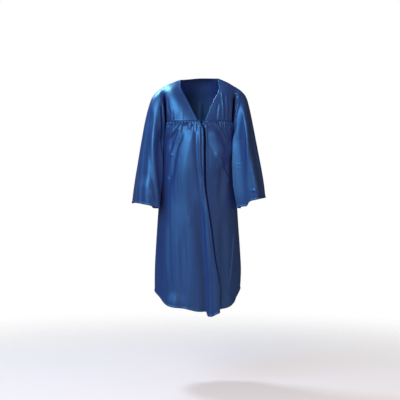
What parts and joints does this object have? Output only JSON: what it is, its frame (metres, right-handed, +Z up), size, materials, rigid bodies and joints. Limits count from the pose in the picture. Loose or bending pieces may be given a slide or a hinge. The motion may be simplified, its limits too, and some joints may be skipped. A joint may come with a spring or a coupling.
{
  "type": "graduation gown",
  "caption": "Child's knee-length satin graduation gown in its worn hollow form, with a V neck, yoke, gathered overlapping fronts, bell sleeves and a curved hem.",
  "frame": {"origin": "middle of the neck opening, level with the neck end of the left shoulder seam, where the wearer's shoulders carry the gown", "axes": "+Z up, -Y out of the front, +X towards the wearer's left"},
  "size_m": [0.4896, 0.2635, 0.8754],
  "materials": {
    "satin": "shiny royal blue polyester satin",
    "wire": "black enamelled wire"
  },
  "bodies": {
    "root": {"yoke_front_right": "satin", "yoke_front_left": "satin", "yoke_back": "satin", "front_right": "satin", "front_left": "satin", "back": "satin", "sleeve_right": "satin", "sleeve_left": "satin", "hook": "wire", "eye": "wire"}
  },
  "joints": []
}
